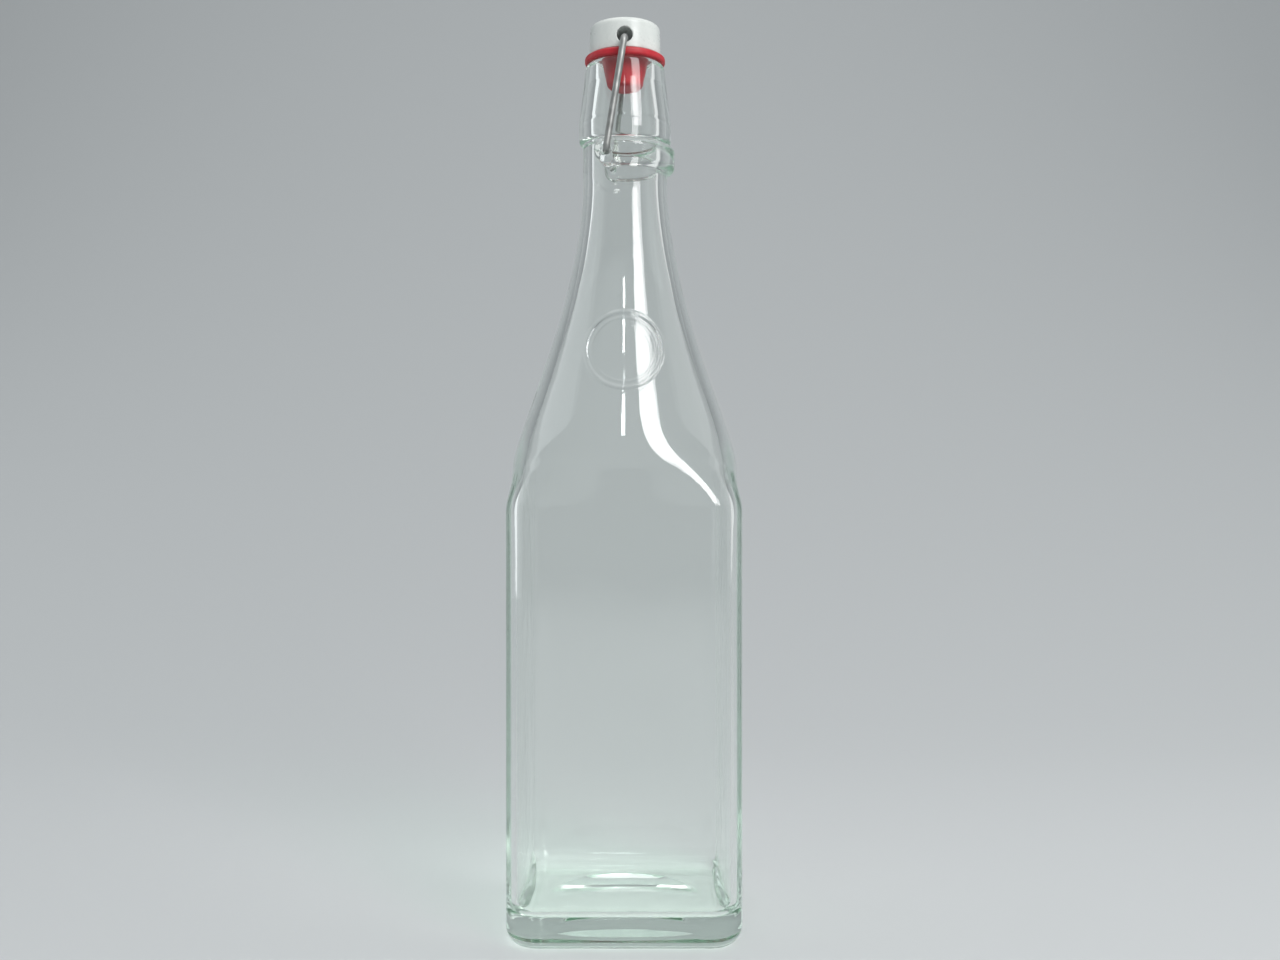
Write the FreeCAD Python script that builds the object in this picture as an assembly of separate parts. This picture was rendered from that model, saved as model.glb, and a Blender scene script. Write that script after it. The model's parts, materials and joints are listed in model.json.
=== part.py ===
"""Swing top bottle: a square glass bottle whose rubber-sealed stopper swings on one wire bail.

Millimetres, +Z up, origin at the middle of the base where the bottle stands.
The bail pivots in two glass lugs, one at -Y and one at +Y, and the stopper swings back towards -X.
"""
import FreeCAD, Part
import math
import os

Vector = FreeCAD.Vector

# Body and shoulder of the glass
body_width = 80.0
body_height = 146.0
body_corner_radius = 11.0
base_edge_radius = 7.0
base_thickness = 10.5
inner_base_radius = 5.5
wall = 3.6
pushup_radius = 27.0
pushup_depth = 1.4
shoulder_height = 116.0
shoulder_bend_rise = 15.5
shoulder_round_rise = 34.0
shoulder_low_reach = 12.0
shoulder_high_reach = 46.0
shoulder_high_spread = 1.9

# Plain raised ring on the front of the shoulder
ring_radius = 14.2
ring_width = 1.8
ring_rise = 0.6
ring_height_on_shoulder = 55.5

# Neck and finish of the glass
neck_radius = 15.0
finish_height = 44.0
skirt_step = 1.4
skirt_drop = 28.8
skirt_straight = 8.0
skirt_edge_radius = 1.2
lip_land = 4.4
lip_edge_radius = 1.8
mouth_radius = 9.5
mouth_edge_radius = 0.8
mouth_length = 7.0
mouth_flare_length = 14.0

# Collar bead round the front of the neck, and the lugs at its two ends
collar_step = 2.8
collar_height = 9.8
collar_edge_radius = 2.6
collar_drop = 34.3
lug_radius = 5.0
lug_step = 2.3
lug_edge_radius = 1.1
lug_setback = 6.4
socket_depth = 4.0
socket_countersink = 0.9

# Stopper cap and its stem
cap_radius = 12.8
cap_taper = 0.3
cap_height = 11.0
cap_edge_radius = 2.2
cap_hole_radius = 2.8
cap_hole_height = 4.4
stem_radius = 4.2
stem_length = 2.5

# Rubber gasket
flange_radius = 14.4
flange_thickness = 3.0
flange_droop = 0.7
flange_edge_radius = 0.9
plug_taper = 2.0
plug_length = 9.2
plug_edge_radius = 2.0
plug_floor = 2.0

# Wire bail
wire_radius = 1.2
bail_top_bend = 2.8
bail_foot_bend = 1.6

# Clearances
seal_gap = 0.05
stem_gap = 0.05
pin_gap = 0.06
pin_end_gap = 0.3
wire_rest_gap = 0.1
plug_gap = 1.3
arm_lug_gap = 0.45
arm_flange_gap = 0.4

# Places that follow from the sizes
half_width = body_width / 2
shoulder_top = body_height + shoulder_height
lip_height = shoulder_top + finish_height
skirt_bottom = lip_height - skirt_drop
collar_middle = lip_height - collar_drop
ring_middle = body_height + ring_height_on_shoulder
neck_bore_radius = neck_radius - wall
skirt_radius = neck_radius + skirt_step
collar_radius = neck_radius + collar_step
lug_reach = neck_radius + lug_step
lip_radius = mouth_radius + lip_land
plug_top_radius = mouth_radius - plug_gap
plug_bottom_radius = plug_top_radius - plug_taper
gasket_bottom = lip_height + seal_gap
gasket_top = gasket_bottom + flange_thickness
cap_bottom = gasket_top + seal_gap
hole_middle = cap_bottom + cap_hole_height
wire_height = hole_middle - cap_hole_radius + wire_radius + wire_rest_gap
socket_radius = wire_radius + pin_gap
bail_foot_reach = lug_reach + arm_lug_gap + wire_radius
bail_top_reach = flange_radius + arm_flange_gap + wire_radius

# The shoulder's sections: shares of its upright foot, then of the curve by which its sides lean in
upright_steps = [0.25, 0.5, 0.75]
leaning_steps = [0.0, 0.05, 0.1, 0.16, 0.23, 0.3, 0.4, 0.5, 0.62, 0.74, 0.87, 1.0]
round_half_angle = math.radians(8)

Z_AXIS = Vector(0, 0, 1)
ORIGIN = Vector(0, 0, 0)


def rounded_path(points, radii, closed=False):
    """Edges from point to point, each corner rounded to its radius; radius 0 keeps it sharp."""
    count = len(points)
    corners = []
    for i, point in enumerate(points):
        at_end = not closed and i in (0, count - 1)
        if at_end or radii[i] == 0:
            corners.append((point, None, point))
            continue
        back = (points[i - 1] - point).normalize()
        onward = (points[(i + 1) % count] - point).normalize()
        half_turn = back.getAngle(onward) / 2
        inward = (back + onward).normalize()
        reach = radii[i] / math.tan(half_turn)
        middle = point + inward * (radii[i] / math.sin(half_turn) - radii[i])
        corners.append((point + back * reach, middle, point + onward * reach))
    edges = []
    for i, (start, middle, end) in enumerate(corners):
        if middle is not None:
            edges.append(Part.Arc(start, middle, end).toShape())
        if i == count - 1 and not closed:
            break
        following = corners[(i + 1) % count][0]
        if (following - end).Length > 1e-6:
            edges.append(Part.LineSegment(end, following).toShape())
    return Part.Wire(edges)


def turned(outline, angle=360.0):
    """Solid of revolution about Z from (radius, height, corner radius) points."""
    points = [Vector(radius, 0, height) for radius, height, _ in outline]
    wire = rounded_path(points, [corner for _, _, corner in outline], closed=True)
    return Part.Face(wire).revolve(ORIGIN, Z_AXIS, angle)


def quarter_turns(edge_maker):
    """A closed wire from the edges of one quarter, repeated round Z."""
    edges = []
    for quarter in range(4):
        for edge in edge_maker():
            edge.rotate(ORIGIN, Z_AXIS, 90 * quarter)
            edges.append(edge)
    return Part.Wire(edges)


def square_section(half, flat, height):
    """Rounded square: sides at half from the axis, flat to that distance each way."""
    corner = half - flat
    diagonal = flat + corner * math.sqrt(0.5)

    def quarter():
        side = Part.LineSegment(Vector(half, -flat, height), Vector(half, flat, height))
        bend = Part.Arc(Vector(half, flat, height), Vector(diagonal, diagonal, height),
                        Vector(flat, half, height))
        return [side.toShape(), bend.toShape()]

    return quarter_turns(quarter)


def bowed_section(half, side_end, roundness, offset, height):
    """Rounded square whose sides bow out, up to a circle at roundness 1; grown by offset.

    half is the reach of a side's middle, and side_end the distance from there to the start of a corner.
    """
    side_radius = half / roundness
    turn = math.asin(side_end / side_radius)
    past_centre = (side_radius - half) / (math.cos(turn) - math.sin(turn))
    corner_centre = past_centre * math.sin(turn)
    corner_radius = side_radius - past_centre + offset
    diagonal = corner_centre + corner_radius * math.sqrt(0.5)

    def on_side(angle):
        reach = side_radius + offset
        return Vector(half - side_radius + reach * math.cos(angle), reach * math.sin(angle), height)

    def quarter():
        start = on_side(turn)
        side = Part.Arc(on_side(-turn), on_side(0), start)
        bend = Part.Arc(start, Vector(diagonal, diagonal, height), Vector(start.y, start.x, height))
        return [side.toShape(), bend.toShape()]

    return quarter_turns(quarter)


def bezier(values, t):
    """A cubic curve's value at t."""
    a, b, c, d = values
    s = 1 - t
    return a * s ** 3 + 3 * b * s * s * t + 3 * c * s * t * t + d * t ** 3


def shoulder(offset):
    """The tapering shoulder, grown by offset (or shrunk, where it is negative)."""
    bend = body_height + shoulder_bend_rise
    halves = (half_width, half_width, neck_radius + shoulder_high_spread, neck_radius)
    heights = (bend, bend + shoulder_low_reach, shoulder_top - shoulder_high_reach, shoulder_top)
    rows = [(half_width, body_height + step * shoulder_bend_rise) for step in upright_steps]
    rows += [(bezier(halves, t), bezier(heights, t)) for t in leaning_steps]
    flat_low = (half_width - body_corner_radius) / half_width
    flat_high = math.sin(round_half_angle)
    sections = [square_section(half_width + offset, half_width - body_corner_radius, body_height)]
    for half, height in rows:
        roundness = bezier((0, 0, 1, 1), min((height - body_height) / shoulder_round_rise, 1))
        flat = half * (flat_low + (flat_high - flat_low) * roundness)
        sections.append(bowed_section(half, flat, roundness, offset, height))
    return Part.makeLoft(sections, True)


def straight_body(offset, bottom, edge_radius):
    """The square part of the bottle with its bottom edge rounded."""
    wire = square_section(half_width + offset, half_width - body_corner_radius, bottom)
    solid = Part.Face(wire).extrude(Vector(0, 0, body_height - bottom))
    bottom_edges = [e for e in solid.Edges if e.BoundBox.ZMax < bottom + 1e-4]
    return solid.makeFillet(edge_radius, bottom_edges)


def finish_outside():
    """Neck, skirt and lip, solid to the axis."""
    return turned([
        (0, shoulder_top, 0),
        (neck_radius, shoulder_top, 0),
        (neck_radius, skirt_bottom, 0),
        (skirt_radius, skirt_bottom, skirt_edge_radius),
        (skirt_radius, skirt_bottom + skirt_straight, skirt_straight / 2),
        (lip_radius, lip_height, lip_edge_radius),
        (0, lip_height, 0),
    ])


def finish_inside():
    """The bore from the shoulder to the mouth."""
    mouth_bottom = lip_height - mouth_length
    flare_bottom = mouth_bottom - mouth_flare_length
    return turned([
        (0, shoulder_top, 0),
        (neck_bore_radius, shoulder_top, 0),
        (neck_bore_radius, flare_bottom, mouth_flare_length / 3),
        (mouth_radius, mouth_bottom, mouth_length / 3),
        (mouth_radius, lip_height - mouth_edge_radius, 0),
        (mouth_radius + mouth_edge_radius, lip_height, 0),
        (0, lip_height, 0),
    ])


def collar():
    """Bead round the front of the neck, ending at the two lugs."""
    low = collar_middle - collar_height / 2
    high = collar_middle + collar_height / 2
    half_span = 180 - math.degrees(math.acos(lug_setback / collar_radius))
    bead = turned([
        (neck_bore_radius, low, 0),
        (collar_radius, low, collar_edge_radius),
        (collar_radius, high, collar_edge_radius),
        (neck_bore_radius, high, 0),
    ], 2 * half_span)
    bead.rotate(ORIGIN, Z_AXIS, -half_span)
    return bead


def lug(side):
    """Round boss that holds one foot of the bail; side is -1 or +1 along Y."""
    outward = Vector(0, side, 0)
    start = Vector(-lug_setback, 0, collar_middle)
    boss = Part.makeCylinder(lug_radius, lug_reach, start, outward)
    face = start + outward * lug_reach
    rim = [e for e in boss.Edges if abs(e.CenterOfMass.y - face.y) < 1e-4]
    return boss.makeFillet(lug_edge_radius, rim)


def lug_socket(side):
    """Blind hole in a lug, opened out a little at its mouth."""
    outward = Vector(0, side, 0)
    bottom = Vector(-lug_setback, side * (lug_reach - socket_depth), collar_middle)
    hole = Part.makeCylinder(socket_radius, socket_depth, bottom, outward)
    mouth = bottom + outward * (socket_depth - socket_countersink)
    flare = Part.makeCone(socket_radius, socket_radius + socket_countersink,
                          socket_countersink, mouth, outward)
    return hole.fuse(flare)


def shoulder_ring():
    """Raised ring that follows the front of the shoulder."""
    towards_front = Vector(0, -1, 0)
    middle = Vector(0, 0, ring_middle)
    outer = Part.makeCylinder(ring_radius, body_width, middle, towards_front)
    inner = Part.makeCylinder(ring_radius - ring_width, body_width, middle, towards_front)
    return shoulder(ring_rise).common(outer.cut(inner))


def pushup():
    """Shallow dome that lifts the middle of the base off the table."""
    ball_radius = (pushup_radius ** 2 + pushup_depth ** 2) / (2 * pushup_depth)
    return Part.makeSphere(ball_radius, Vector(0, 0, pushup_depth - ball_radius))


def make_bottle():
    glass = straight_body(0, 0, base_edge_radius)
    glass = glass.fuse([shoulder(0), finish_outside(), collar(), lug(-1), lug(1), shoulder_ring()])
    hollow = straight_body(-wall, base_thickness, inner_base_radius)
    hollow = hollow.fuse([shoulder(-wall), finish_inside()])
    glass = glass.cut([hollow, pushup(), lug_socket(-1), lug_socket(1)])
    return glass.removeSplitter()


def make_stopper_cap():
    stem_bottom = cap_bottom - stem_length
    cap_top = cap_bottom + cap_height
    cap = turned([
        (0, stem_bottom, 0),
        (stem_radius, stem_bottom, 0),
        (stem_radius, cap_bottom, 0),
        (cap_radius, cap_bottom, 0),
        (cap_radius - cap_taper, cap_top, cap_edge_radius),
        (0, cap_top, 0),
    ])
    hole = Part.makeCylinder(cap_hole_radius, 2 * cap_radius,
                             Vector(0, -cap_radius, hole_middle), Vector(0, 1, 0))
    return cap.cut(hole)


def make_gasket():
    """Flange and soft hollow plug; the cap's stem fits its bore."""
    bore = stem_radius + stem_gap
    plug_bottom = gasket_bottom - plug_length
    return turned([
        (0, plug_bottom, 0),
        (plug_bottom_radius, plug_bottom, plug_edge_radius),
        (plug_top_radius, gasket_bottom, 0),
        (flange_radius, gasket_bottom, flange_edge_radius),
        (flange_radius, gasket_top - flange_droop, flange_edge_radius),
        (cap_radius, gasket_top, 0),
        (bore, gasket_top, 0),
        (bore, plug_bottom + plug_floor, plug_floor / 2),
        (0, plug_bottom + plug_floor, 0),
    ])


def make_bail():
    """One wire: a foot in each lug, two arms, and the bar through the cap."""
    foot_end = lug_reach - socket_depth + pin_end_gap

    def arm(side):
        return [Vector(-lug_setback, side * foot_end, collar_middle),
                Vector(-lug_setback, side * bail_foot_reach, collar_middle),
                Vector(0, side * bail_top_reach, wire_height)]

    points = arm(-1) + arm(1)[::-1]
    bends = [0, bail_foot_bend, bail_top_bend, bail_top_bend, bail_foot_bend, 0]
    path = rounded_path(points, bends)
    section = Part.Wire(Part.makeCircle(wire_radius, points[0], Vector(0, 1, 0)))
    return path.makePipeShell([section], True, False)


def main():
    os.makedirs("parts", exist_ok=True)
    nodes = {
        "bottle": make_bottle(),
        "stopper_cap": make_stopper_cap(),
        "gasket": make_gasket(),
        "bail": make_bail(),
    }
    for name, shape in nodes.items():
        solids = shape.Solids
        volume = sum(solid.Volume for solid in solids)
        print(f"{name}: {len(solids)} solid, {volume:.0f} mm3, valid {shape.isValid()}")
        solids[0].exportStep(f"parts/{name}.step")
    print(f"height {cap_bottom + cap_height:.1f}, bail axis z {collar_middle:.2f}, "
          f"stopper axis z {wire_height:.2f}")


main()
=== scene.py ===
"""Looks for the swing top bottle: clear moulded glass, white cap, red rubber gasket and drawn wire.

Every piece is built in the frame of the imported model, in metres, and rides on the body that it belongs to.
"""
import json
import math

import bmesh
import bpy
from mathutils import Matrix, Vector, noise


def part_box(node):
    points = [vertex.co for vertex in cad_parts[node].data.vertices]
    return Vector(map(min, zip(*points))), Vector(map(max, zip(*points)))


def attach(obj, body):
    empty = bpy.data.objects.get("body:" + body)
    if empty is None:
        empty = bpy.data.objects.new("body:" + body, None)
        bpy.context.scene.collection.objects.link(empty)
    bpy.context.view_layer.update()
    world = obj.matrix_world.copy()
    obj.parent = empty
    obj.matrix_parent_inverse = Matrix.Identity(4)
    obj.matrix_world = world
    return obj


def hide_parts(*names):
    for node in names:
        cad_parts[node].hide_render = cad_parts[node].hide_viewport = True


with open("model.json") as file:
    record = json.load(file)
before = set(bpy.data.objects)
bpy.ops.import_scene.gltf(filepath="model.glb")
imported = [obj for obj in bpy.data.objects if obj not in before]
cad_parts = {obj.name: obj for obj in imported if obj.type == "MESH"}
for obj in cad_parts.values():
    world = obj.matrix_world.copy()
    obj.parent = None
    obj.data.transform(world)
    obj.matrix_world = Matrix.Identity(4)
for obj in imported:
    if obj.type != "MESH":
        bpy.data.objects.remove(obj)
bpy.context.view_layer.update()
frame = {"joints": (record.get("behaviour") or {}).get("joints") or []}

MM = 0.001
FIT_GAP = 0.05 * MM

# Sizes that the frame gives
GLASS_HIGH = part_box("bottle")[1]
CAP_LOW, CAP_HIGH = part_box("stopper_cap")
GASKET_LOW, GASKET_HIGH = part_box("gasket")
JOINTS = {joint["name"]: joint for joint in frame["joints"]}
FOOT_AXIS = Vector(JOINTS["bail_swing"]["pos_m"])
BAR_AXIS = Vector(JOINTS["stopper_tilt"]["pos_m"])
HALF_WIDTH = GLASS_HIGH.x
LIP_HEIGHT = GLASS_HIGH.z
CAP_RADIUS = CAP_HIGH.x
CAP_TOP = CAP_HIGH.z
FLANGE_RADIUS = GASKET_HIGH.x
GASKET_TOP = GASKET_HIGH.z
PLUG_BOTTOM = GASKET_LOW.z

# Glass: body and shoulder
BODY_HEIGHT = 146 * MM
CORNER_RADIUS = 11 * MM
FLAT_HALF = HALF_WIDTH - CORNER_RADIUS
HEEL_RADIUS = 7 * MM
WALL = 3.6 * MM
FLOOR_HEIGHT = 10.5 * MM
INNER_HEEL_RADIUS = 5.5 * MM
PUSHUP_RADIUS = 27 * MM
PUSHUP_DEPTH = 1.4 * MM
SHOULDER_TOP = 262 * MM
SHOULDER_BEND_RISE = 15.5 * MM
SHOULDER_ROUND_RISE = 34 * MM
SHOULDER_LOW_REACH = 12 * MM
SHOULDER_HIGH_REACH = 46 * MM
SHOULDER_HIGH_SPREAD = 1.9 * MM
ROUND_HALF_ANGLE = 8
ROUND_SHARE = math.sin(math.radians(ROUND_HALF_ANGLE))
FLATTEST = 1e-4

# Glass: plain raised ring on the front of the shoulder, with a fine line inside it
RING_HEIGHT = 201.5 * MM
RING_RADIUS = 14.2 * MM
RING_WIDTH = 1.8 * MM
RING_RISE = 0.6 * MM
RING_EDGE = 0.6 * MM
INNER_RING_RADIUS = 11.2 * MM
INNER_RING_WIDTH = 1.2 * MM
INNER_RING_RISE = 0.25 * MM

# Glass: neck, collar bead, lugs and mouth
NECK_RADIUS = 15 * MM
NECK_BORE = NECK_RADIUS - WALL
SKIRT_BOTTOM = LIP_HEIGHT - 28.8 * MM
SKIRT_RADIUS = NECK_RADIUS + 1.4 * MM
SKIRT_STRAIGHT = 8 * MM
SKIRT_EDGE = 1.2 * MM
MOUTH_RADIUS = 9.5 * MM
MOUTH_EDGE = 0.8 * MM
MOUTH_BEND = 0.5 * MM
MOUTH_LENGTH = 7 * MM
MOUTH_FLARE = 14 * MM
LIP_RADIUS = MOUTH_RADIUS + 4.4 * MM
LIP_EDGE = 1.8 * MM
COLLAR_RADIUS = NECK_RADIUS + 2.8 * MM
COLLAR_HALF_HEIGHT = 4.9 * MM
COLLAR_EDGE = 2.6 * MM
LUG_REACH = NECK_RADIUS + 2.3 * MM
LUG_FACE_RADIUS = 4.2 * MM
LUG_FOOT_RADIUS = 5.4 * MM
# A direction whose sine is below this is clear of the lugs
LUG_LEAST_SINE = 0.6
SOCKET_RADIUS = 1.26 * MM
SOCKET_DEPTH = 4 * MM
SOCKET_FLARE = 0.9 * MM

# Slight unevenness of moulded glass
OUTER_WAVE = 0.05 * MM
INNER_WAVE = 0.3 * MM
WAVE_LENGTH = 26 * MM

# Cap
CAP_BOTTOM = GASKET_TOP + FIT_GAP
CAP_TAPER = 0.3 * MM
CAP_EDGE = 2.2 * MM
CAP_HOLE_RADIUS = 2.8 * MM
CAP_HOLE_HEIGHT = CAP_BOTTOM + 4.4 * MM
STEM_RADIUS = 4.2 * MM
CAP_VOXEL = 0.2 * MM
CAP_SMOOTHING = 6

# Gasket
FLANGE_BOTTOM = LIP_HEIGHT + FIT_GAP
FLANGE_DROOP = 0.7 * MM
FLANGE_EDGE = 0.9 * MM
PLUG_RADIUS = MOUTH_RADIUS - 1.3 * MM
PLUG_TAPER = 2 * MM
PLUG_EDGE = 2 * MM
PLUG_FLOOR = 2 * MM
PLUG_BORE = STEM_RADIUS + FIT_GAP

# Bail
WIRE_RADIUS = 1.2 * MM
FOOT_REACH = LUG_REACH + 0.45 * MM + WIRE_RADIUS
BAR_REACH = FLANGE_RADIUS + 0.4 * MM + WIRE_RADIUS
FOOT_END = LUG_REACH - SOCKET_DEPTH + 0.3 * MM
FOOT_BEND = 1.6 * MM
BAR_BEND = 2.8 * MM
WIRE_END_EDGE = 0.25 * MM

# Fineness of the turned pieces and the wire
BEND_STEPS = 8
CAP_BEND_STEPS = 12
GASKET_BEND_STEPS = 10
WIRE_BEND_STEPS = 12
TURNED_SEGMENTS = 160
DRILL_SIDES = 96
WIRE_SIDES = 28
FINISH_STEP = 3 * MM
GASKET_STEP = 0.8 * MM
WIRE_STEP = 1.5 * MM
ON_AXIS = 1e-7


def mix(a, b, share):
    """The value at a share of the way from a to b."""
    return a + (b - a) * share


def smooth(value):
    """Smooth step from 0 to 1."""
    value = min(max(value, 0.0), 1.0)
    return value * value * (3 - 2 * value)


def spread(start, end, count):
    """count values from start up to, but not including, end."""
    return [mix(start, end, i / count) for i in range(count)]


def rounded(corners, bends, steps):
    """Points along an open run of corners, in two or three dimensions, each rounded by its bend radius."""
    points = []
    for i, (corner, bend) in enumerate(zip(corners, bends)):
        if bend == 0:
            points.append(corner)
            continue
        back = (corners[i - 1] - corner).normalized()
        onward = (corners[i + 1] - corner).normalized()
        half_turn = back.angle(onward) / 2
        centre = corner + (back + onward).normalized() * bend / math.sin(half_turn)
        start = corner + back * bend / math.tan(half_turn) - centre
        end = corner + onward * bend / math.tan(half_turn) - centre
        turn = math.pi - 2 * half_turn
        for share in [step / steps for step in range(steps + 1)]:
            arm = start * math.sin((1 - share) * turn) + end * math.sin(share * turn)
            points.append(centre + arm / math.sin(turn))
    return points


def rounded_outline(corners, steps):
    """Points along an outline of (radius, height, bend radius)."""
    return rounded([Vector(corner[:2]) for corner in corners], [corner[2] for corner in corners], steps)


def filled_in(points, longest):
    """The same outline with long straight stretches divided."""
    dense = [points[0]]
    for point in points[1:]:
        start = dense[-1]
        pieces = max(1, math.ceil((point - start).length / longest))
        dense += [start.lerp(point, (i + 1) / pieces) for i in range(pieces)]
    return dense


def mesh_object(name, vertices, faces):
    """A smooth-shaded object with its normals pointing out."""
    mesh = bpy.data.meshes.new(name)
    mesh.from_pydata(vertices, [], faces)
    solid = bmesh.new()
    solid.from_mesh(mesh)
    bmesh.ops.recalc_face_normals(solid, faces=solid.faces)
    solid.to_mesh(mesh)
    solid.free()
    mesh.shade_smooth()
    piece = bpy.data.objects.new(name, mesh)
    bpy.context.scene.collection.objects.link(piece)
    return piece


def stitched(rings):
    """Vertices and faces of a closed skin through rings of points; a ring of one point is a pole."""
    vertices, starts = [], []
    for ring in rings:
        starts.append(len(vertices))
        vertices += ring
    faces = []
    for i in range(len(rings) - 1):
        low, high = starts[i], starts[i + 1]
        low_count, high_count = len(rings[i]), len(rings[i + 1])
        for a in range(max(low_count, high_count)):
            b = (a + 1) % max(low_count, high_count)
            if low_count == 1:
                faces.append((low, high + a, high + b))
            elif high_count == 1:
                faces.append((low + b, low + a, high))
            else:
                faces.append((low + a, low + b, high + b, high + a))
    return vertices, faces


def lathe(name, outline):
    """Solid of revolution; the outline starts and ends on the axis."""
    rings = []
    turns = spread(0, 2 * math.pi, TURNED_SEGMENTS)
    for radius, height in outline:
        if radius < ON_AXIS:
            rings.append([(0, 0, height)])
        else:
            rings.append([(radius * math.cos(a), radius * math.sin(a), height) for a in turns])
    return mesh_object(name, *stitched(rings))


# The glass is one grid: columns run up the bottle and rows go round it
# A column belongs to a quarter: it is at a share of the quarter's flat side or at an angle in its corner
# Each quarter lists its columns per side, and per stretch of its corner: start and end in degrees, and count
# Columns and rows are closest at the lugs and at the raised ring
CORNER_START = ROUND_HALF_ANGLE
CORNER_END = 90 - ROUND_HALF_ANGLE
SIDE_COLUMNS = [8, 8, 8, 24]
CORNER_COLUMNS = [
    [(CORNER_START, CORNER_END, 20)],
    [(CORNER_START, 10, 1), (10, 41, 30), (41, CORNER_END, 12)],
    [(CORNER_START, 48, 12), (48, CORNER_END, 50)],
    [(CORNER_START, 36, 42), (36, CORNER_END, 14)],
]
PUSHUP_ROWS = 10
BASE_ROWS = 5
HEEL_ROWS = 12
BODY_ROWS = 26
OUTER_SHOULDER_ROWS = spread(-1, 0, 14) + spread(0, 0.37, 22) + spread(0.37, 0.66, 94) + spread(0.66, 1, 16)
INNER_SHOULDER_ROWS = spread(1, 0, 34) + spread(0, -1, 10)
NECK_ROWS = 4
COLLAR_ROWS = 46
INNER_HEEL_ROWS = 10
FLOOR_ROWS = 8


def glass_columns():
    """Every column of the grid as its quarter, its kind and its place there."""
    columns = []
    for quarter in range(4):
        columns += [(quarter, "side", share) for share in spread(-1, 1, SIDE_COLUMNS[quarter])]
        for start, end, count in CORNER_COLUMNS[quarter]:
            columns += [(quarter, "corner", angle) for angle in spread(start, end, count)]
    return columns


COLUMNS = glass_columns()


def section_point(column, side_radius, side_centre, turn, corner_radius, corner_centre):
    """Where a column crosses a section of four side arcs, each of half angle turn, and four corner arcs."""
    quarter, kind, value = column
    if kind == "side":
        angle = value * turn
        point = Vector((side_centre + side_radius * math.cos(angle), side_radius * math.sin(angle)))
    else:
        share = (value - CORNER_START) / (CORNER_END - CORNER_START)
        angle = mix(turn, math.pi / 2 - turn, share)
        point = Vector((corner_centre + corner_radius * math.cos(angle),
                        corner_centre + corner_radius * math.sin(angle)))
    return Matrix.Rotation(math.radians(90 * quarter), 2) @ point


def section(half, side_end, height, roundness=0.0, offset=0.0):
    """One row of the grid: a rounded square whose sides bow out, up to a circle at roundness 1.

    half is the reach of a side's middle, side_end the distance from there to the start of a corner,
    and offset moves the whole row out.
    """
    side_radius = half / max(roundness, FLATTEST)
    turn = math.asin(side_end / side_radius)
    past_centre = (side_radius - half) / (math.cos(turn) - math.sin(turn))
    shape = (side_radius + offset, half - side_radius, turn,
             side_radius - past_centre + offset, past_centre * math.sin(turn))
    row = [section_point(column, *shape) for column in COLUMNS]
    return [Vector((p.x, p.y, height)) for p in row]


def circle_section(radius, height):
    """One row of the grid that is a circle."""
    return section(radius, radius * ROUND_SHARE, height, 1.0)


def bezier(a, b, c, d, t):
    """The value at t, from 0 to 1, on a cubic curve from a to d that b and c pull."""
    s = 1 - t
    return a * s ** 3 + 3 * b * s * s * t + 3 * c * s * t * t + d * t ** 3


def shoulder_section(t, offset):
    """A row of the shoulder, moved out by offset.

    t runs from -1 to 0 up the shoulder's upright foot, and from 0 to 1 up its curve.
    """
    bend = BODY_HEIGHT + SHOULDER_BEND_RISE
    if t < 0:
        half, height = HALF_WIDTH, bend + t * SHOULDER_BEND_RISE
    else:
        half = bezier(HALF_WIDTH, HALF_WIDTH, NECK_RADIUS + SHOULDER_HIGH_SPREAD, NECK_RADIUS, t)
        height = bezier(bend, bend + SHOULDER_LOW_REACH, SHOULDER_TOP - SHOULDER_HIGH_REACH, SHOULDER_TOP, t)
    rounding = smooth((height - BODY_HEIGHT) / SHOULDER_ROUND_RISE)
    side_end = half * mix(FLAT_HALF / HALF_WIDTH, ROUND_SHARE, rounding)
    return section(half, side_end, height, rounding, offset)


def bump(distance, half_width):
    """A ridge's height, from 1 on its flat top to 0 at its edges."""
    return smooth((half_width - abs(distance)) / RING_EDGE)


def ring_relief(point):
    """How far the front of the shoulder stands out for the ring and the fine line inside it."""
    across, up = point.x, point.z - RING_HEIGHT
    reach = math.hypot(across, up)
    if point.y > 0 or reach > RING_RADIUS:
        return 0.0
    rise = RING_RISE * bump(reach - RING_RADIUS + RING_WIDTH / 2, RING_WIDTH / 2)
    return rise + INNER_RING_RISE * bump(reach - INNER_RING_RADIUS, INNER_RING_WIDTH / 2)


def collar_reach(up):
    """The collar bead's radius at a height from its middle."""
    inside = COLLAR_HALF_HEIGHT - abs(up)
    if inside <= 0:
        return NECK_RADIUS
    if inside >= COLLAR_EDGE:
        return COLLAR_RADIUS
    return COLLAR_RADIUS - COLLAR_EDGE + math.sqrt(COLLAR_EDGE ** 2 - (COLLAR_EDGE - inside) ** 2)


def neck_reach(angle, height):
    """The neck's radius in a direction, with the collar bead, the lugs and their sockets."""
    up = height - FOOT_AXIS.z
    reach = NECK_RADIUS
    collar_end = math.acos(FOOT_AXIS.x / COLLAR_RADIUS)
    if abs(angle) < collar_end:
        reach = max(reach, collar_reach(up))
    sideways = abs(math.sin(angle))
    if sideways < LUG_LEAST_SINE:
        return reach
    across = LUG_REACH * math.cos(angle) / sideways - FOOT_AXIS.x
    distance = math.hypot(across, up)
    if distance < SOCKET_RADIUS:
        return (LUG_REACH - SOCKET_DEPTH) / sideways
    if distance < SOCKET_RADIUS + SOCKET_FLARE:
        return (LUG_REACH - (SOCKET_RADIUS + SOCKET_FLARE - distance)) / sideways
    fall = smooth((distance - LUG_FACE_RADIUS) / (LUG_FOOT_RADIUS - LUG_FACE_RADIUS))
    return max(reach, mix(LUG_REACH / sideways, NECK_RADIUS, fall))


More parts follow.
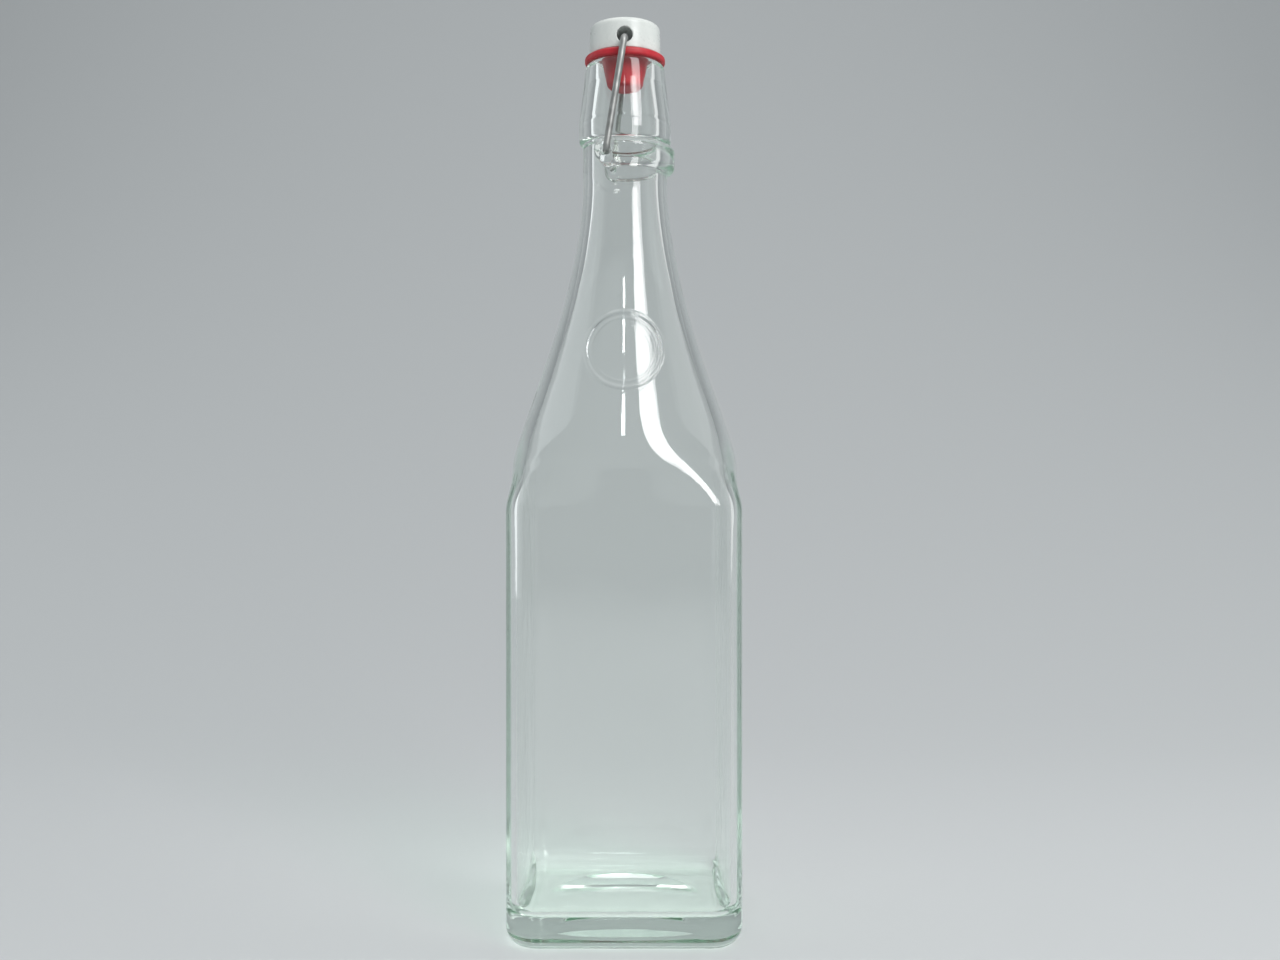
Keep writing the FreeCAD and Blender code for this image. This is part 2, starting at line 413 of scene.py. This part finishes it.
def relieved_neck(row):
    """A row of the neck with the collar and lugs standing out of it."""
    shaped = []
    for point in row:
        angle = math.atan2(point.y, point.x)
        reach = neck_reach(angle, point.z)
        shaped.append(Vector((reach * math.cos(angle), reach * math.sin(angle), point.z)))
    return shaped


def waved(row, amount):
    """A row moved unevenly towards the axis, by up to amount, as moulded glass is uneven."""
    moved = []
    for point in row:
        inward = -Vector((point.x, point.y, 0)).normalized()
        dip = min(max(0.5 + 0.5 * noise.noise(point / WAVE_LENGTH), 0.0), 1.0)
        moved.append(point + inward * amount * dip)
    return moved


def glass_outside():
    """Rows from the middle of the base, over the outside, up to the foot of the neck."""
    ball = (PUSHUP_RADIUS ** 2 + PUSHUP_DEPTH ** 2) / (2 * PUSHUP_DEPTH)
    rows = [[Vector((0, 0, PUSHUP_DEPTH))]]
    for radius in spread(0, PUSHUP_RADIUS, PUSHUP_ROWS)[1:]:
        rows.append(circle_section(radius, PUSHUP_DEPTH - ball + math.sqrt(ball ** 2 - radius ** 2)))
    inner_half = HALF_WIDTH - HEEL_RADIUS
    for share in spread(0, 1, BASE_ROWS):
        half = mix(PUSHUP_RADIUS, inner_half, share)
        side_end = mix(PUSHUP_RADIUS * ROUND_SHARE, FLAT_HALF, share)
        rows.append(section(half, side_end, 0, 1 - share))
    for turn in spread(0, math.pi / 2, HEEL_ROWS):
        half = inner_half + HEEL_RADIUS * math.sin(turn)
        rows.append(section(half, FLAT_HALF, HEEL_RADIUS * (1 - math.cos(turn))))
    for height in spread(HEEL_RADIUS, BODY_HEIGHT, BODY_ROWS):
        rows.append(waved(section(HALF_WIDTH, FLAT_HALF, height), OUTER_WAVE))
    for t in OUTER_SHOULDER_ROWS:
        row = waved(shoulder_section(t, 0), OUTER_WAVE)
        rows.append([p - Vector((0, ring_relief(p), 0)) for p in row])
    return rows


def glass_finish():
    """Rows up the neck, over the lip and down the bore to the foot of the neck."""
    collar_foot = FOOT_AXIS.z - LUG_FOOT_RADIUS
    heights = spread(SHOULDER_TOP, collar_foot, NECK_ROWS) + spread(collar_foot, SKIRT_BOTTOM, COLLAR_ROWS)
    rows = [relieved_neck(circle_section(NECK_RADIUS, height)) for height in heights]
    mouth_bottom = LIP_HEIGHT - MOUTH_LENGTH
    flare_bottom = mouth_bottom - MOUTH_FLARE
    outline = rounded_outline([
        (NECK_RADIUS, SKIRT_BOTTOM, 0),
        (SKIRT_RADIUS, SKIRT_BOTTOM, SKIRT_EDGE),
        (SKIRT_RADIUS, SKIRT_BOTTOM + SKIRT_STRAIGHT, SKIRT_STRAIGHT / 2),
        (LIP_RADIUS, LIP_HEIGHT, LIP_EDGE),
        (MOUTH_RADIUS + MOUTH_EDGE, LIP_HEIGHT, MOUTH_BEND),
        (MOUTH_RADIUS, LIP_HEIGHT - MOUTH_EDGE, MOUTH_BEND),
        (MOUTH_RADIUS, mouth_bottom, MOUTH_LENGTH / 3),
        (NECK_BORE, flare_bottom, MOUTH_FLARE / 3),
        (NECK_BORE, SHOULDER_TOP, 0),
    ], BEND_STEPS)
    rows += [circle_section(radius, height) for radius, height in filled_in(outline, FINISH_STEP)[:-1]]
    return rows


def glass_inside():
    """Rows down the inside, from the foot of the neck to the middle of the floor."""
    rows = [waved(shoulder_section(t, -WALL), INNER_WAVE) for t in INNER_SHOULDER_ROWS]
    inner_half = HALF_WIDTH - WALL
    heel_top = FLOOR_HEIGHT + INNER_HEEL_RADIUS
    for height in spread(BODY_HEIGHT, heel_top, BODY_ROWS):
        rows.append(waved(section(inner_half, FLAT_HALF, height), INNER_WAVE))
    floor_half = inner_half - INNER_HEEL_RADIUS
    for turn in spread(0, math.pi / 2, INNER_HEEL_ROWS):
        half = floor_half + INNER_HEEL_RADIUS * math.cos(turn)
        rows.append(section(half, FLAT_HALF, heel_top - INNER_HEEL_RADIUS * math.sin(turn)))
    for share in spread(1, 0, FLOOR_ROWS):
        side_end = floor_half * share * mix(ROUND_SHARE, FLAT_HALF / floor_half, share)
        rows.append(section(floor_half * share, side_end, FLOOR_HEIGHT, 1 - share))
    rows.append([Vector((0, 0, FLOOR_HEIGHT))])
    return rows


def make_glass():
    """The bottle as one closed skin of glass."""
    rows = glass_outside() + glass_finish() + glass_inside()
    return mesh_object("glass_bottle", *stitched(rows))


def apply_modifiers(piece):
    """Bakes a piece's modifiers into its mesh."""
    evaluated = piece.evaluated_get(bpy.context.evaluated_depsgraph_get())
    mesh = bpy.data.meshes.new_from_object(evaluated)
    piece.modifiers.clear()
    piece.data = mesh
    mesh.shade_smooth()


def make_cap():
    """White cap: turned, drilled across, then softened like a moulding."""
    outline = rounded_outline([
        (0, CAP_LOW.z, 0),
        (STEM_RADIUS, CAP_LOW.z, 0),
        (STEM_RADIUS, CAP_BOTTOM, 0),
        (CAP_RADIUS, CAP_BOTTOM, 0),
        (CAP_RADIUS - CAP_TAPER, CAP_TOP, CAP_EDGE),
        (0, CAP_TOP, 0),
    ], CAP_BEND_STEPS)
    cap = lathe("cap", outline)
    bpy.ops.mesh.primitive_cylinder_add(vertices=DRILL_SIDES, radius=CAP_HOLE_RADIUS, depth=4 * CAP_RADIUS,
                                        location=(0, 0, CAP_HOLE_HEIGHT), rotation=(math.pi / 2, 0, 0))
    drill = bpy.context.object
    cut = cap.modifiers.new("hole", "BOOLEAN")
    cut.operation = "DIFFERENCE"
    cut.object = drill
    remesh = cap.modifiers.new("remesh", "REMESH")
    remesh.mode = "VOXEL"
    remesh.voxel_size = CAP_VOXEL
    soften = cap.modifiers.new("soften", "SMOOTH")
    soften.iterations = CAP_SMOOTHING
    apply_modifiers(cap)
    bpy.data.objects.remove(drill)
    return cap


def make_gasket():
    """Red rubber flange with a hollow plug under it."""
    outline = rounded_outline([
        (0, PLUG_BOTTOM, 0),
        (PLUG_RADIUS - PLUG_TAPER, PLUG_BOTTOM, PLUG_EDGE),
        (PLUG_RADIUS, FLANGE_BOTTOM, 0),
        (FLANGE_RADIUS, FLANGE_BOTTOM, FLANGE_EDGE),
        (FLANGE_RADIUS, GASKET_TOP - FLANGE_DROOP, FLANGE_EDGE),
        (CAP_RADIUS, GASKET_TOP, 0),
        (PLUG_BORE, GASKET_TOP, 0),
        (PLUG_BORE, PLUG_BOTTOM + PLUG_FLOOR, PLUG_FLOOR / 2),
        (0, PLUG_BOTTOM + PLUG_FLOOR, 0),
    ], GASKET_BEND_STEPS)
    return lathe("gasket_rubber", filled_in(outline, GASKET_STEP))


def bail_path():
    """Points along the wire: straight runs joined by round bends."""
    def arm(side):
        return [Vector((FOOT_AXIS.x, side * FOOT_END, FOOT_AXIS.z)),
                Vector((FOOT_AXIS.x, side * FOOT_REACH, FOOT_AXIS.z)),
                Vector((BAR_AXIS.x, side * BAR_REACH, BAR_AXIS.z))]

    bends = [0, FOOT_BEND, BAR_BEND, BAR_BEND, FOOT_BEND, 0]
    return filled_in(rounded(arm(-1) + arm(1)[::-1], bends, WIRE_BEND_STEPS), WIRE_STEP)


def make_bail():
    """The wire as a tube with slightly rounded ends."""
    path = bail_path()
    rings = []
    turns = spread(0, 2 * math.pi, WIRE_SIDES)
    across = Vector((1, 0, 0))
    for i, point in enumerate(path):
        along = (path[min(i + 1, len(path) - 1)] - path[max(i - 1, 0)]).normalized()
        across = (across - along * across.dot(along)).normalized()
        other = along.cross(across)
        rings.append([point + (across * math.cos(a) + other * math.sin(a)) * WIRE_RADIUS for a in turns])
    closed = []
    for end, inward, ring in ((path[0], path[1], rings[0]), (path[-1], path[-2], rings[-1])):
        closed.append([end.lerp(point, 1 - WIRE_END_EDGE / WIRE_RADIUS) for point in ring])
        ring[:] = [point + (inward - end).normalized() * WIRE_END_EDGE for point in ring]
    rings = [[path[0]], closed[0]] + rings + [closed[1], [path[-1]]]
    return mesh_object("wire_bail", *stitched(rings))


# Materials

GLASS_COLOUR = (0.97, 0.985, 0.975, 1)
GLASS_SHADOW = (0.92, 0.95, 0.935, 1)
GLASS_TINT = (0.82, 0.92, 0.86, 1)
GLASS_TINT_DENSITY = 14
GLASS_IOR = 1.5
CAP_GREYER_WHITE = (0.64, 0.68, 0.65)
CAP_WHITE = (0.70, 0.73, 0.70)
# Grey for the cap's lower edge, where it sits on the gasket: grime mixed with painted shade
CAP_GRIME_AND_SHADE = (0.42, 0.42, 0.38)
CAP_GRIME_AND_SHADE_REACH = 2.5 * MM
RUBBER_DEEP_RED = (0.42, 0.008, 0.018)
RUBBER_RED = (0.55, 0.016, 0.028)
RUBBER_BLOOM = (0.60, 0.12, 0.12)
STEEL = (0.40, 0.41, 0.40)
DULL_STEEL = (0.26, 0.27, 0.26)
WIRE_LINES_STRETCH = (1, 1, 0.04)

# Places of a colour mix's sockets, whose names other sockets share
MIX_SHARE = 0
MIX_FIRST = 6
MIX_SECOND = 7
MIX_RESULT = 2


class Nodes:
    """A material's node tree, with short ways to add and join nodes."""

    def __init__(self, name):
        self.material = bpy.data.materials.new(name)
        self.material.use_nodes = True
        self.tree = self.material.node_tree
        self.shader = self.tree.nodes["Principled BSDF"]
        self.output = self.tree.nodes["Material Output"]
        self.place = self.add("ShaderNodeTexCoord").outputs["Object"]

    def add(self, kind, **values):
        """A new node with some of its settings."""
        node = self.tree.nodes.new(kind)
        for name, value in values.items():
            setattr(node, name, value)
        return node

    def join(self, source, target):
        """A link from an output to an input."""
        self.tree.links.new(source, target)

    def noise(self, scale, detail, stretch=(1, 1, 1)):
        """Noise from 0 to 1; scale is in waves per metre."""
        stretched = self.add("ShaderNodeMapping")
        stretched.inputs["Scale"].default_value = stretch
        self.join(self.place, stretched.inputs["Vector"])
        texture = self.add("ShaderNodeTexNoise")
        texture.inputs["Scale"].default_value = scale
        texture.inputs["Detail"].default_value = detail
        self.join(stretched.outputs["Vector"], texture.inputs["Vector"])
        return texture.outputs["Fac"]

    def between(self, source, low, high, from_low=0.3, from_high=0.7):
        """A value that runs from low to high as source goes from one bound to the other."""
        ramp = self.add("ShaderNodeMapRange")
        ramp.inputs["From Min"].default_value = from_low
        ramp.inputs["From Max"].default_value = from_high
        ramp.inputs["To Min"].default_value = low
        ramp.inputs["To Max"].default_value = high
        self.join(source, ramp.inputs["Value"])
        return ramp.outputs["Result"]

    def blend(self, share, first, second):
        """A colour between two others; each is a socket or a colour."""
        node = self.add("ShaderNodeMix", data_type="RGBA")
        self.join(share, node.inputs[MIX_SHARE])
        for socket, value in ((node.inputs[MIX_FIRST], first), (node.inputs[MIX_SECOND], second)):
            if isinstance(value, tuple):
                socket.default_value = (*value, 1)
            else:
                self.join(value, socket)
        return node.outputs[MIX_RESULT]

    def relief(self, height, strength, distance):
        """Bump from a height."""
        node = self.add("ShaderNodeBump")
        node.inputs["Strength"].default_value = strength
        node.inputs["Distance"].default_value = distance
        self.join(height, node.inputs["Height"])
        self.join(node.outputs["Normal"], self.shader.inputs["Normal"])

    def near_height(self, height, reach):
        """1 at a height, falling to 0 at reach from it."""
        split = self.add("ShaderNodeSeparateXYZ")
        self.join(self.place, split.inputs["Vector"])
        away = self.add("ShaderNodeMath", operation="SUBTRACT")
        away.inputs[1].default_value = height
        self.join(split.outputs["Z"], away.inputs[0])
        size = self.add("ShaderNodeMath", operation="ABSOLUTE")
        self.join(away.outputs[0], size.inputs[0])
        return self.between(size.outputs[0], 1.0, 0.0, 0.0, reach)


def glass_material():
    """Clear glass with a faint green tint, smudges, and shadows that let light through."""
    nodes = Nodes("clear_glass")
    shader = nodes.shader
    shader.inputs["Base Color"].default_value = GLASS_COLOUR
    shader.inputs["Transmission Weight"].default_value = 1.0
    shader.inputs["IOR"].default_value = GLASS_IOR
    smudges = nodes.noise(scale=45, detail=5)
    nodes.join(nodes.between(smudges, low=0.0, high=0.05), shader.inputs["Roughness"])
    nodes.relief(nodes.noise(scale=70, detail=2), strength=0.06, distance=0.001)
    clear = nodes.add("ShaderNodeBsdfTransparent")
    clear.inputs["Color"].default_value = GLASS_SHADOW
    path = nodes.add("ShaderNodeLightPath")
    either = nodes.add("ShaderNodeMixShader")
    nodes.join(path.outputs["Is Shadow Ray"], either.inputs[0])
    nodes.join(shader.outputs[0], either.inputs[1])
    nodes.join(clear.outputs[0], either.inputs[2])
    nodes.join(either.outputs[0], nodes.output.inputs["Surface"])
    tint = nodes.add("ShaderNodeVolumeAbsorption")
    tint.inputs["Color"].default_value = GLASS_TINT
    tint.inputs["Density"].default_value = GLASS_TINT_DENSITY
    nodes.join(tint.outputs[0], nodes.output.inputs["Volume"])
    return nodes.material


def cap_material():
    """White moulded plastic with slightly greyer patches, and blotches of grime mixed with painted shade
    along its lower edge, where it sits on the gasket.
    """
    nodes = Nodes("white_plastic")
    shader = nodes.shader
    patches = nodes.between(nodes.noise(scale=160, detail=4), low=0, high=1)
    white = nodes.blend(patches, CAP_GREYER_WHITE, CAP_WHITE)
    # Blotches of grime and painted shade, kept to the cap's lower edge where it meets the gasket
    grime_and_shade = nodes.between(nodes.noise(scale=420, detail=5), low=0.0, high=0.5, from_low=0.45, from_high=0.75)
    low_grime_and_shade = nodes.add("ShaderNodeMath", operation="MULTIPLY")
    nodes.join(nodes.near_height(CAP_BOTTOM, CAP_GRIME_AND_SHADE_REACH), low_grime_and_shade.inputs[0])
    nodes.join(grime_and_shade, low_grime_and_shade.inputs[1])
    nodes.join(nodes.blend(low_grime_and_shade.outputs[0], white, CAP_GRIME_AND_SHADE), shader.inputs["Base Color"])
    wear = nodes.noise(scale=240, detail=5)
    nodes.join(nodes.between(wear, low=0.22, high=0.42), shader.inputs["Roughness"])
    nodes.relief(nodes.noise(scale=900, detail=4), strength=0.08, distance=0.0004)
    return nodes.material


def rubber_material():
    """Red rubber with a dry bloom."""
    nodes = Nodes("red_rubber")
    shader = nodes.shader
    patches = nodes.between(nodes.noise(scale=220, detail=5), low=0, high=1)
    red = nodes.blend(patches, RUBBER_DEEP_RED, RUBBER_RED)
    bloom = nodes.between(nodes.noise(scale=700, detail=6), low=0.0, high=0.12, from_low=0.5, from_high=0.8)
    nodes.join(nodes.blend(bloom, red, RUBBER_BLOOM), shader.inputs["Base Color"])
    wear = nodes.noise(scale=300, detail=4)
    nodes.join(nodes.between(wear, low=0.38, high=0.58), shader.inputs["Roughness"])
    nodes.relief(nodes.noise(scale=1500, detail=3), strength=0.15, distance=0.0003)
    return nodes.material


def wire_material():
    """Drawn steel wire with fine lines along it and dull patches."""
    nodes = Nodes("drawn_wire")
    shader = nodes.shader
    shader.inputs["Metallic"].default_value = 1.0
    lines = nodes.noise(scale=2200, detail=3, stretch=WIRE_LINES_STRETCH)
    patches = nodes.between(nodes.noise(scale=260, detail=5), low=0, high=1)
    nodes.join(nodes.blend(patches, STEEL, DULL_STEEL), shader.inputs["Base Color"])
    nodes.join(nodes.between(lines, low=0.42, high=0.62), shader.inputs["Roughness"])
    nodes.relief(lines, strength=0.12, distance=0.0002)
    return nodes.material


def dress(piece, material, body, node):
    """Gives a piece its finish and ties it to its body, in place of its plain node."""
    piece.data.materials.clear()
    piece.data.materials.append(material)
    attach(piece, body)
    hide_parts(node)


# Stage: a pale sweep, soft lamps and the camera

SWEEP_COLOUR = (0.58, 0.60, 0.605, 1)
SWEEP_ROUGHNESS = 0.9
SWEEP_FRONT = -1.8
SWEEP_BACK = 1.7
SWEEP_HALF_WIDTH = 2.6
SWEEP_RADIUS = 1.4
SWEEP_STEPS = 24
SWEEP_HEIGHT = 2.4
# The floor lies just under the glass, because faces in one plane let rays slip below the floor
FLOOR_GAP = 0.3 * MM

WHITE_LIGHT = (1, 1, 1)
COOL_LIGHT = (0.95, 0.98, 1)
WARM_LIGHT = (1, 0.98, 0.98)
ROOM_COLOUR = (0.82, 0.87, 0.90, 1)
ROOM_STRENGTH = 0.4
LIGHT_BOUNCES = 48

CAMERA_PLACE = (5.4 * MM, -490 * MM, 157 * MM)
CAMERA_CLIP_START = 0.01
FOCAL_PIXELS = 1361
PHOTO_WIDTH = 1280
SENSOR_WIDTH = 36


def make_sweep():
    """Floor that curves up into a backdrop."""
    profile = [Vector((SWEEP_FRONT, 0)), Vector((SWEEP_BACK - SWEEP_RADIUS, 0))]
    for turn in spread(0, math.pi / 2, SWEEP_STEPS)[1:]:
        profile.append(Vector((SWEEP_BACK - SWEEP_RADIUS + SWEEP_RADIUS * math.sin(turn),
                               SWEEP_RADIUS * (1 - math.cos(turn)))))
    profile += [Vector((SWEEP_BACK, SWEEP_RADIUS)), Vector((SWEEP_BACK, SWEEP_HEIGHT))]
    vertices, faces = [], []
    for away, up in profile:
        vertices += [(-SWEEP_HALF_WIDTH, away, up), (SWEEP_HALF_WIDTH, away, up)]
    for i in range(len(profile) - 1):
        faces.append((2 * i, 2 * i + 1, 2 * i + 3, 2 * i + 2))
    mesh = bpy.data.meshes.new("sweep")
    mesh.from_pydata(vertices, [], faces)
    mesh.shade_smooth()
    sweep = bpy.data.objects.new("sweep", mesh)
    sweep.location.z = -FLOOR_GAP
    bpy.context.scene.collection.objects.link(sweep)
    nodes = Nodes("sweep")
    nodes.shader.inputs["Base Color"].default_value = SWEEP_COLOUR
    nodes.shader.inputs["Roughness"].default_value = SWEEP_ROUGHNESS
    mesh.materials.append(nodes.material)


def soft_lamp(name, place, target, size, power, colour):
    """A rectangular lamp that faces target; size is its width and height in metres, power is in watts."""
    data = bpy.data.lights.new(name, "AREA")
    data.shape = "RECTANGLE"
    data.size, data.size_y = size
    data.energy = power
    data.color = colour
    lamp = bpy.data.objects.new(name, data)
    lamp.location = place
    lamp.rotation_mode = "QUATERNION"
    lamp.rotation_quaternion = (Vector(target) - Vector(place)).to_track_quat("-Z", "Y")
    bpy.context.scene.collection.objects.link(lamp)


def make_lights():
    """Soft light from above and both sides, a window at the front right, and a small lamp for a glint."""
    middle = (0, 0, LIP_HEIGHT / 2)
    shoulder = (0, 0, 0.2)
    soft_lamp("overhead", (0, 0, 1.9), middle, size=(1.8, 1.8), power=10, colour=WHITE_LIGHT)
    soft_lamp("window", (0.52, -0.80, 0.95), shoulder, size=(0.42, 0.9), power=10, colour=WARM_LIGHT)
    soft_lamp("left", (-1.3, 0.2, 0.5), middle, size=(1.2, 1.2), power=3, colour=COOL_LIGHT)
    soft_lamp("right", (1.3, 0.3, 0.5), middle, size=(1.2, 1.2), power=2.2, colour=WHITE_LIGHT)
    soft_lamp("glint", (-0.03, -1.0, 0.99), middle, size=(0.07, 0.13), power=0.75, colour=COOL_LIGHT)


def make_world():
    """A pale room all round."""
    world = bpy.data.worlds.new("room")
    bpy.context.scene.world = world
    world.use_nodes = True
    background = world.node_tree.nodes["Background"]
    background.inputs["Color"].default_value = ROOM_COLOUR
    background.inputs["Strength"].default_value = ROOM_STRENGTH


def make_camera():
    """A level camera in front of the bottle, with the photograph's field of view."""
    data = bpy.data.cameras.new("camera")
    data.sensor_width = SENSOR_WIDTH
    data.lens = FOCAL_PIXELS / PHOTO_WIDTH * SENSOR_WIDTH
    data.clip_start = CAMERA_CLIP_START
    camera = bpy.data.objects.new("camera", data)
    camera.location = CAMERA_PLACE
    camera.rotation_euler = (math.pi / 2, 0, 0)
    bpy.context.scene.collection.objects.link(camera)
    bpy.context.scene.camera = camera


dress(make_glass(), glass_material(), "bottle", "bottle")
dress(make_bail(), wire_material(), "bail", "bail")
dress(make_cap(), cap_material(), "stopper", "stopper_cap")
dress(make_gasket(), rubber_material(), "stopper", "gasket")

make_sweep()
make_lights()
make_world()
make_camera()

scene = bpy.context.scene
scene.view_settings.view_transform = "Standard"
scene.cycles.max_bounces = LIGHT_BOUNCES
scene.cycles.glossy_bounces = LIGHT_BOUNCES
scene.cycles.transmission_bounces = LIGHT_BOUNCES
